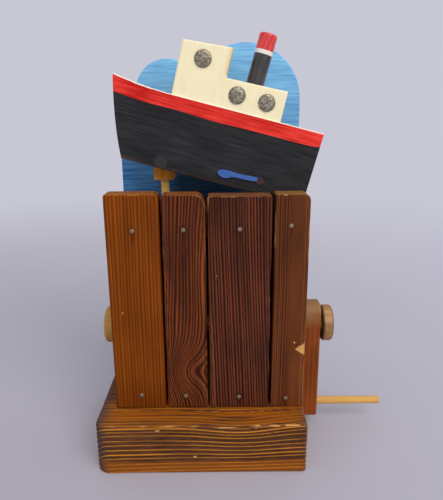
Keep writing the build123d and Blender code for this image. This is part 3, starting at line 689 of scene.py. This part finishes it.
bmesh.ops.bevel(board, geom=rims, offset=0.0009, segments=3, profile=0.5, affect="EDGES")
bmesh.ops.triangulate(board, faces=[face for face in board.faces if len(face.verts) > 4])
mesh = bpy.data.meshes.new("sky_board")
board.to_mesh(mesh)
board.free()
mesh.shade_smooth()
mesh.set_sharp_from_angle(angle=math.radians(35))
sky_board = bpy.data.objects.new("sky_board_painted", mesh)
bpy.context.collection.objects.link(sky_board)

# Matt emulsion over bare wood: every stroke of the brush leaves its own streak.
sky_paint, tree, shader, place = new_finish("brushed_sky_emulsion")
height = add_node(tree, "SeparateXYZ", {0: place}).outputs["Z"]
stroke = streaks(tree, place, (0.024, 0.004, 0.0011), 5)
wash = streaks(tree, place, (0.060, 0.020, 0.018), 3)
level = add_node(tree, "MapRange", {"Value": height, "From Min": 0.205, "From Max": 0.315, "To Max": 0.82})
tone = add_node(tree, "Math", {0: stroke, 1: 1.3, 2: level}, operation="MULTIPLY_ADD")
tone = add_node(tree, "Math", {0: wash, 1: 0.7, 2: tone}, operation="MULTIPLY_ADD")
tone = add_node(tree, "MapRange", {"Value": tone, "From Min": 0.75, "From Max": 1.95})
blue = add_node(tree, "Mix", {0: tone, 6: "#0460A6", 7: "#90D0F6"}, data_type="RGBA")
# on its front, low behind the hull, painted shade: the hull's shadow and the dark of the box below it, painted in as
# a near-black blue
aside = add_node(tree, "SeparateXYZ", {0: place}).outputs["X"]
aside = add_node(tree, "Math", {0: wash, 1: 0.012, 2: aside}, operation="MULTIPLY_ADD")
inner = add_node(tree, "MapRange", {"Value": aside, "From Min": -0.030, "From Max": -0.010})
under = add_node(tree, "MapRange", {"Value": height, "From Min": 0.232, "From Max": 0.212})
front = add_node(tree, "MapRange", {"Value": facing(tree)["Y"], "From Min": -0.5, "From Max": -0.9, "To Max": 0.75})
painted_shade = add_node(tree, "Math", {0: inner, 1: under}, operation="MULTIPLY")
painted_shade = add_node(tree, "Math", {0: painted_shade, 1: front}, operation="MULTIPLY")
blue = add_node(tree, "Mix", {0: painted_shade, 6: blue, 7: "#1C222C"}, data_type="RGBA")
bump = add_node(tree, "Bump", {"Height": stroke, "Distance": 0.0003, "Strength": 0.6})
set_inputs(shader, {"Base Color": blue, "Roughness": 0.75, "Specular IOR Level": 0.1, "Normal": bump})
mesh.materials.append(sky_paint)
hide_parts("sky_backboard")
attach(sky_board, "case")


# ---------------------------------------------------------------- screws
# Zinc-plated wood screws with cross recesses hold the sky board to the side panels, and hold the
# box down from under the base. Only their flat heads show, level with the wood.
screw_head, sizes = new_tree(
    "cross_recess_screw_heads", "Heads", "Places", ("Facing",),
    ("Head diameter", "Head height", "Recess width"),
)
half = add_node(screw_head, "Math", {0: sizes["Head diameter"], 1: 0.5}, operation="MULTIPLY")
foot = add_node(screw_head, "Math", {0: sizes["Head diameter"], 1: 0.25}, operation="MULTIPLY")
cone = add_node(
    screw_head, "GeometryNodeMeshCone",
    {"Vertices": 32, "Radius Top": half, "Radius Bottom": foot, "Depth": sizes["Head height"]}, fill_type="NGON",
)
low_side = add_node(screw_head, "Math", {0: sizes["Head height"], 1: -1.0}, operation="MULTIPLY")
down = add_node(screw_head, "CombineXYZ", {"Z": low_side})
head = add_node(screw_head, "GeometryNodeTransform", {"Geometry": cone, "Translation": down})
bar_size = add_node(screw_head, "CombineXYZ", {"X": half, "Y": sizes["Recess width"], "Z": sizes["Head height"]})
bar = add_node(screw_head, "GeometryNodeMeshCube", {"Size": bar_size})
crossed = add_node(screw_head, "GeometryNodeTransform", {"Geometry": bar, "Rotation": (0, 0, math.pi / 2)})
recessed = add_node(screw_head, "GeometryNodeMeshBoolean", {0: head}, operation="DIFFERENCE")
for cutter in (bar, crossed):
    set_inputs(recessed, {"Mesh 2": cutter})
spin = add_node(screw_head, "FunctionNodeRandomValue", {"Max": (0.0, 0.0, 3.1), "Seed": 2}, data_type="FLOAT_VECTOR")
end_tree(screw_head, "Heads", put_at_places(screw_head, sizes, recessed, spin), sizes["Finish"])

# Carbon steel under bright zinc, gone cloudy: grey, half dull, with faint darker spots.
zinc, tree, shader, place = new_finish("clouded_zinc_plate")
cloud = streaks(tree, place, (0.003, 0.003, 0.003), 3)
mixed = add_node(tree, "Mix", {0: cloud, 6: "#6E6A62", 7: "#C6C2B6"}, data_type="RGBA")
set_inputs(shader, {"Base Color": mixed, "Metallic": 1.0, "Roughness": 0.42})
in_backboard = [(x, 0.0511, z) for x in (-0.0603, 0.0727) for z in (0.065, 0.11675, 0.1685)]
in_base = [(x, y, 0.0002) for x in (-0.0238, 0.0362) for y in (-0.0072, 0.0288)]
for name, places, turned in (("backboard_screw", in_backboard, -math.pi / 2), ("base_screw", in_base, math.pi)):
    heads = made_by(screw_head, name + "_heads", places, {
        "Head diameter": 0.0070, "Head height": 0.0016, "Recess width": 0.0011, "Facing": (turned, 0, 0),
        "Finish": zinc,
    })
    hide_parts(name + "s")
    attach(heads, "case")


# ---------------------------------------------------------------- crank
# A dowel shaft through both side panels carries two plywood heart cams, a disc at each end and a
# flat arm. The discs were cut from a thick dowel and handled until their rims went pale. The
# handle is a bare dowel, glued into the arm's foot.
# Birch dowel: pale yellow, almost without rings, sanded and never finished.
birch = stained_softwood("bare_birch_dowel", "#BC8638", "#E6B668", "X", (0.0, 0.03, 0.03), 0.0020, 0.12)
# painted light: this copy of the birch, for the rods and pin collars, is coloured lighter than the handle's, for
# parts that stand in the hull's shade
birch_upright_painted_light = stained_softwood("bare_birch_rod_painted_lighter", "#E0A24A", "#FFD47C", "Z", (-0.1, 0.03, 0.0), 0.0020, 0.12)
# Beech, turned: tan, darker where oil from hands has soaked in.
beech = stained_softwood("oiled_beech_disc", "#643A20", "#D2A674", "X", (0.0, 0.5, 0.10), 0.0050, 0.2)
beech_pale = stained_softwood("waxed_beech_disc", "#A07236", "#CEA25E", "X", (0.0, 0.5, 0.08), 0.0050, 0.2)
# Birch plywood, seen only where the box is open at the top: pale, with level plies.
ply = stained_softwood("bare_birch_plywood", "#A88450", "#D0AC74", "X", (0.0, 0.5, 0.0), 0.0024, 0.6)
# the right one is rubbed pale round the middle of its rim and still dark towards both faces
tree, shader, place, oiled = reopen(beech)
smear = streaks(tree, place, (0.004, 0.004, 0.004), 3)
low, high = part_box("right_end_disc")
aside = add_node(tree, "SeparateXYZ", {0: place}).outputs["X"]
aside = add_node(tree, "Math", {0: aside, 1: (low.x + high.x) / 2}, operation="SUBTRACT")
aside = add_node(tree, "Math", {0: aside}, operation="ABSOLUTE")
aside = add_node(tree, "Math", {0: smear, 1: 0.0030, 2: aside}, operation="MULTIPLY_ADD")
dark = add_node(tree, "MapRange", {"Value": aside, "From Min": 0.0041, "From Max": 0.0057, "To Max": 0.75})
mixed = add_node(tree, "Mix", {0: dark, 6: oiled, 7: "#4A2A18"}, data_type="RGBA")
set_inputs(shader, {"Base Color": mixed})
dress(birch, "crank_shaft", "crank_handle")
dress(beech_pale, "left_end_disc")
dress(beech, "right_end_disc")
dress(ply, "left_cam", "right_cam")

# The arm: pine, stained mahogany like the last plank, worn to grey-tan where the thumb rests.
arm_pine = stained_softwood("worn_mahogany_pine", "#662D10", "#9C5020", "Z", (0.05, -0.02, 0.0), 0.0035, 0.4)
tree, shader, place, stain = reopen(arm_pine)
height = add_node(tree, "SeparateXYZ", {0: place}).outputs["Z"]
smear = streaks(tree, place, (0.006, 0.006, 0.012), 3)
ragged = add_node(tree, "Math", {0: smear, 1: 0.016, 2: height}, operation="MULTIPLY_ADD")
worn = add_node(
    tree, "MapRange",
    {"Value": ragged, "From Min": 0.098, "From Max": 0.118, "To Max": 0.88}, interpolation_type="SMOOTHSTEP",
)
mixed = add_node(tree, "Mix", {0: worn, 6: stain, 7: "#98764E"}, data_type="RGBA")
set_inputs(shader, {"Base Color": mixed})
dress(arm_pine, "crank_arm")


# ---------------------------------------------------------------- push rods
# Bare birch dowels slide through the guide board, and each carries an amber-stained block that
# takes one of the boat's pins. The blocks were sawn from scrap and never sanded.
# Pine offcut, amber stain: warm yellow-brown with broad rings, coloured lighter than the stain as painted light, for
# blocks that stand in the hull's shade.
block_pine = stained_softwood("amber_stained_block_painted_lighter", "#B8661A", "#F0A844", "Z", (-0.05, 0.05, 0.0), 0.0030, 0.4)
# painted light: the rods take the lightened birch copy
dress(birch_upright_painted_light, "left_push_rod", "right_push_rod")
dress(block_pine, "left_rod_head", "right_rod_head")


# ---------------------------------------------------------------- hull
# One flat board sawn to the boat's side. Below the red band it has two thin coats of charcoal
# paint, brushed along the boat, and the deck on top is cream. The keel is rubbed to brown wood.
left_pin = (-0.0270, 0.0, 0.2290)
deck_tilt = math.radians(15.9)


def along_boat(tree, place):
    """The place on the boat: x along the deck, z square to it, both from the left pin."""
    on_deck = {"Vector": place, "Location": left_pin, "Rotation": (0, deck_tilt, 0)}
    return add_node(tree, "Mapping", on_deck, vector_type="TEXTURE")


# Oil-bound paint, brushed thin: matt, with brush lines and a little wood grain under it.
hull_paint, tree, shader, place = new_finish("brushed_charcoal_red_and_cream_paint")
place = along_boat(tree, place)
spot = add_node(tree, "SeparateXYZ", {0: place}).outputs
stroke = streaks(tree, place, (0.022, 0.003, 0.0011), 4)
cloud = streaks(tree, place, (0.030, 0.010, 0.012), 3)
charcoal = add_node(tree, "Mix", {0: cloud, 6: "#101012", 7: "#363537"}, data_type="RGBA")
lined = add_node(tree, "MapRange", {"Value": stroke, "From Min": 0.3, "From Max": 0.7, "To Min": 0.6, "To Max": 1.5})
charcoal = add_node(tree, "VectorMath", {0: charcoal, "Scale": lined}, operation="SCALE")
thick = add_node(tree, "Math", {0: stroke, 1: cloud}, operation="ADD")
thick = add_node(tree, "MapRange", {"Value": thick, "From Min": 0.75, "From Max": 1.25})
red = add_node(tree, "Mix", {0: thick, 6: "#BC140C", 7: "#FC463A"}, data_type="RGBA")
wobble = add_node(tree, "MapRange", {"Value": cloud, "To Min": -0.0005, "To Max": 0.0005})
# the band's lower edge: its place from bow to stern, and its height over the left pin in decimetres
share = add_node(tree, "MapRange", {"Value": spot["X"], "From Min": -0.046, "From Max": 0.107})
edge = add_node(tree, "FloatCurve", {"Value": share})
curve = edge.mapping.curves[0]
for along, height in (
    (0.118, 0.3750), (0.216, 0.3725), (0.306, 0.3770), (0.399, 0.3750), (0.497, 0.3725),
    (0.588, 0.3780), (0.778, 0.3850), (0.876, 0.3890), (0.974, 0.3960),
):
    curve.points.new(along, height)
curve.points[0].location, curve.points[-1].location = (0.0, 0.384), (1.0, 0.405)
edge.mapping.update()
lower = add_node(tree, "Math", {0: edge, 1: 0.1, 2: wobble}, operation="MULTIPLY_ADD")
over = add_node(tree, "Math", {0: spot["Z"], 1: lower}, operation="SUBTRACT")
is_red = add_node(tree, "MapRange", {"Value": over, "From Min": -0.0001, "From Max": 0.0001})
banded = add_node(tree, "Mix", {0: is_red, 6: charcoal, 7: red}, data_type="RGBA")
# cream wherever the surface faces up off the deck
faces = add_node(tree, "TexCoord").outputs["Normal"]
deck_up = (math.sin(deck_tilt), 0.0, math.cos(deck_tilt))
upward = add_node(tree, "VectorMath", {0: faces, 1: deck_up}, operation="DOT_PRODUCT")
is_deck = add_node(tree, "MapRange", {"Value": upward, "From Min": 0.25, "From Max": 0.35})
decked = add_node(tree, "Mix", {0: is_deck, 6: banded, 7: "#F6EFDC"}, data_type="RGBA")
keel = add_node(tree, "MapRange", {"Value": spot["Z"], "From Min": -0.0005, "From Max": -0.0045})
ragged = add_node(tree, "Math", {0: keel, 1: cloud}, operation="MULTIPLY")
rubbed = add_node(tree, "MapRange", {"Value": ragged, "From Min": 0.2, "From Max": 0.6, "To Max": 0.7})
mixed = add_node(tree, "Mix", {0: rubbed, 6: decked, 7: "#5A4030"}, data_type="RGBA")
bump = add_node(tree, "Bump", {"Height": stroke, "Distance": 0.00025, "Strength": 0.6})
set_inputs(shader, {"Base Color": mixed, "Roughness": 0.65, "Specular IOR Level": 0.12, "Normal": bump})
dress(hull_paint, "hull")


# ---------------------------------------------------------------- hull pins and collars
# Two dowels through the hull hang it on the push rods. The left one was painted over with the
# hull, so only its ring shows, and the right one has a maroon end. Birch collars keep them in.
# Painted dowel end: charcoal, rougher than the hull because end grain drinks paint.
for name, dark, light in (("left_hull_pin", "#131314", "#2C2A2C"), ("right_hull_pin", "#241214", "#4C2424")):
    paint, tree, shader, place = new_finish(name.replace("_pin", "_dowel_end_paint"))
    pores = streaks(tree, place, (0.0008, 0.004, 0.0008), 3)
    mixed = add_node(tree, "Mix", {0: pores, 6: dark, 7: light}, data_type="RGBA")
    bump = add_node(tree, "Bump", {"Height": pores, "Distance": 0.0002, "Strength": 0.7})
    set_inputs(shader, {"Base Color": mixed, "Roughness": 0.7, "Normal": bump})
    dress(paint, name)
dress(birch_upright_painted_light, "pin_collars")


# ---------------------------------------------------------------- blade
# A sliver of thin wood, cut by knife, painted bright blue and glued flat to the hull by the pin.
# Enamel over hardwood: smooth, a little glossy.
blade_paint, tree, shader, place = new_finish("blue_enamel")
place = along_boat(tree, place)
stroke = streaks(tree, place, (0.008, 0.002, 0.0009), 3)
mixed = add_node(tree, "Mix", {0: stroke, 6: "#1E4696", 7: "#4672B6"}, data_type="RGBA")
set_inputs(shader, {"Base Color": mixed, "Roughness": 0.45})
dress(blade_paint, "blue_blade")


# ---------------------------------------------------------------- deckhouse
# A stepped block, sawn from one board, with its arrises eased and two coats of cream emulsion. Beside the step, a tan
# strip runs along the tall part's stern edge, partly worn paint and partly painted shade on the eased edge, with a
# thin painted shadow line at its stern side.
cream, tree, shader, place = new_finish("brushed_cream_emulsion")
place = along_boat(tree, place)
spot = add_node(tree, "SeparateXYZ", {0: place}).outputs
stroke = streaks(tree, place, (0.002, 0.002, 0.016), 4)
wash = streaks(tree, place, (0.020, 0.010, 0.020), 3)
pale = add_node(tree, "Mix", {0: stroke, 6: "#F6E6B4", 7: "#FFF6D4"}, data_type="RGBA")
toned = add_node(tree, "MapRange", {"Value": wash, "From Min": 0.3, "From Max": 0.7, "To Min": 0.95, "To Max": 1.03})
toned = add_node(tree, "VectorMath", {0: pale, "Scale": toned}, operation="SCALE")
# a tan strip along the tall part's stern edge: partly worn paint, partly painted shade on the eased edge turned from
# the light
beside = add_node(tree, "MapRange", {"Value": spot["X"], "From Min": 0.0272, "From Max": 0.0288})
above = add_node(tree, "MapRange", {"Value": spot["Z"], "From Min": 0.0690, "From Max": 0.0700})
aft = add_node(tree, "Math", {0: spot["X"], 1: 0.0330}, operation="LESS_THAN")
tall = add_node(tree, "Math", {0: above, 1: aft}, operation="MULTIPLY")
worn_and_shaded_strip = add_node(tree, "Math", {0: beside, 1: tall}, operation="MULTIPLY")
patchy = add_node(tree, "MapRange", {"Value": wash, "From Min": 0.25, "From Max": 0.5, "To Min": 0.5, "To Max": 0.95})
worn_and_shaded_strip = add_node(tree, "Math", {0: worn_and_shaded_strip, 1: patchy}, operation="MULTIPLY")
mixed = add_node(tree, "Mix", {0: worn_and_shaded_strip, 6: toned, 7: "#E8CC90"}, data_type="RGBA")
# painted shadow: a thin dark brown line along the strip's stern side
rim = add_node(tree, "MapRange", {"Value": spot["X"], "From Min": 0.0293, "From Max": 0.0299, "To Max": 0.62})
rim = add_node(tree, "Math", {0: rim, 1: tall}, operation="MULTIPLY")
mixed = add_node(tree, "Mix", {0: rim, 6: mixed, 7: "#8A6A40"}, data_type="RGBA")
# a chip on the tall part's roof shows the red-brown wood
chip = add_node(tree, "VectorMath", {0: place, 1: (0.0027, -0.0134, 0.0861)}, operation="DISTANCE")
chipped = add_node(tree, "MapRange", {"Value": chip, "From Min": 0.0014, "From Max": 0.0008})
mixed = add_node(tree, "Mix", {0: chipped, 6: mixed, 7: "#8A4630"}, data_type="RGBA")
bump = add_node(tree, "Bump", {"Height": stroke, "Distance": 0.0002, "Strength": 0.4})
set_inputs(shader, {"Base Color": mixed, "Roughness": 0.7, "Specular IOR Level": 0.1, "Normal": bump})
dress(cream, "deckhouse")


# ---------------------------------------------------------------- funnel
# Half-inch dowel, let into the low roof: enamelled black, with a red top and a white ring masked between them. Enamel
# over dowel keeps a soft shine down one side; pale vertical streaks in the black and the red are partly brush runs
# and partly painted highlights.
funnel_paint, tree, shader, place = new_finish("black_white_and_red_enamel")
place = along_boat(tree, place)
spot = add_node(tree, "SeparateXYZ", {0: place}).outputs
stroke = streaks(tree, place, (0.0012, 0.0012, 0.012), 4)
# painted highlights: the pale end of these vertical streaks stands in for the enamel's shine, besides brush runs
runs_and_highlights = add_node(tree, "MapRange", {"Value": stroke, "From Min": 0.35, "From Max": 0.65})
black = add_node(tree, "Mix", {0: runs_and_highlights, 6: "#101010", 7: "#464240"}, data_type="RGBA")
red = add_node(tree, "Mix", {0: runs_and_highlights, 6: "#C0141A", 7: "#F84844"}, data_type="RGBA")
is_white = add_node(tree, "MapRange", {"Value": spot["Z"], "From Min": 0.08932, "From Max": 0.08948})
is_red = add_node(tree, "MapRange", {"Value": spot["Z"], "From Min": 0.09202, "From Max": 0.09218})
ringed = add_node(tree, "Mix", {0: is_white, 6: black, 7: "#F2EEE2"}, data_type="RGBA")
topped = add_node(tree, "Mix", {0: is_red, 6: ringed, 7: red}, data_type="RGBA")
bump = add_node(tree, "Bump", {"Height": stroke, "Distance": 0.0001, "Strength": 0.4})
set_inputs(shader, {"Base Color": topped, "Roughness": 0.28, "Specular IOR Level": 0.75, "Normal": bump})
dress(funnel_paint, "funnel")


# ---------------------------------------------------------------- porthole studs
# Three upholstery studs, pressed from sheet steel with a hammered face and an old-pewter finish,
# pushed into the deckhouse on their own pins.
stud, sizes = new_tree(
    "hammered_studs", "Studs", "Places", ("Facing",),
    ("Diameter", "Dome height", "Facet size", "Facet depth"),
)
half = add_node(stud, "Math", {0: sizes["Diameter"], 1: 0.5}, operation="MULTIPLY")
ball = add_node(stud, "GeometryNodeMeshUVSphere", {"Segments": 64, "Rings": 48, "Radius": half})
# a sphere squeezed flat below its middle and, by a power of its height, blunt on top
here = add_node(stud, "GeometryNodeInputPosition")
spot = add_node(stud, "SeparateXYZ", {0: here}).outputs
rise = add_node(stud, "Math", {0: spot["Z"], 1: half}, operation="DIVIDE")
rise = add_node(stud, "Math", {0: rise, 1: 0.0}, operation="MAXIMUM")
blunt = add_node(stud, "Math", {0: rise, 1: 0.55}, operation="POWER")
tall = add_node(stud, "Math", {0: blunt, 1: sizes["Dome height"]}, operation="MULTIPLY")
domed = add_node(stud, "CombineXYZ", {"X": spot["X"], "Y": spot["Y"], "Z": tall})
cap = add_node(stud, "GeometryNodeSetPosition", {"Geometry": ball, "Position": domed})
closed = add_node(stud, "GeometryNodeMergeByDistance", {"Geometry": cap, "Distance": 0.00001})
whole = put_at_places(stud, sizes, closed)
many = add_node(stud, "Math", {0: 1.0, 1: sizes["Facet size"]}, operation="DIVIDE")
facet = add_node(stud, "TexVoronoi", {"Scale": many}, feature="SMOOTH_F1").outputs["Distance"]
sunk = add_node(stud, "Math", {0: facet, 1: -0.55}, operation="ADD")
deep = add_node(stud, "Math", {0: sunk, 1: sizes["Facet depth"]}, operation="MULTIPLY")
normal = add_node(stud, "GeometryNodeInputNormal")
knock = add_node(stud, "VectorMath", {0: normal, "Scale": deep}, operation="SCALE")
marked = add_node(
    stud, "GeometryNodeStoreNamedAttribute",
    {"Geometry": whole, "Name": "facet", "Value": facet}, data_type="FLOAT", domain="POINT",
)
hammered = add_node(stud, "GeometryNodeSetPosition", {"Geometry": marked, "Offset": knock})
smooth = add_node(stud, "GeometryNodeSetShadeSmooth", {"Geometry": hammered})
end_tree(stud, "Studs", smooth, sizes["Finish"])

# Steel with an antiqued tin wash: grey-brown in the dents and bright on the ridges between them.
pewter, tree, shader, place = new_finish("antiqued_hammered_steel")
facet = add_node(tree, "Attribute", attribute_name="facet").outputs["Fac"]
tarnish = streaks(tree, place, (0.0012, 0.0012, 0.0012), 3)
worn = add_node(tree, "Math", {0: facet, 1: tarnish}, operation="MULTIPLY")
worn = add_node(tree, "MapRange", {"Value": worn, "From Min": 0.08, "From Max": 0.45})
mixed = add_node(tree, "Mix", {0: worn, 6: "#6E685C", 7: "#B8AE98"}, data_type="RGBA")
dull = add_node(tree, "MapRange", {"Value": worn, "To Min": 0.6, "To Max": 0.32})
set_inputs(shader, {"Base Color": mixed, "Metallic": 0.75, "Roughness": dull})
# u along the deck and v square to it, both from the left pin
run, drop = math.cos(deck_tilt), math.sin(deck_tilt)
places = [
    (left_pin[0] + u * run + v * drop, -0.0144, left_pin[2] - u * drop + v * run)
    for u, v in ((0.0112, 0.0752), (0.0402, 0.0584), (0.0615, 0.0591))
]
studs = made_by(stud, "hammered_porthole_studs", places, {
    "Diameter": 0.0121, "Dome height": 0.0019, "Facet size": 0.0016, "Facet depth": 0.0004,
    "Facing": (math.pi / 2, 0, 0), "Finish": pewter,
})
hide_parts("porthole_studs")
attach(studs, "boat")
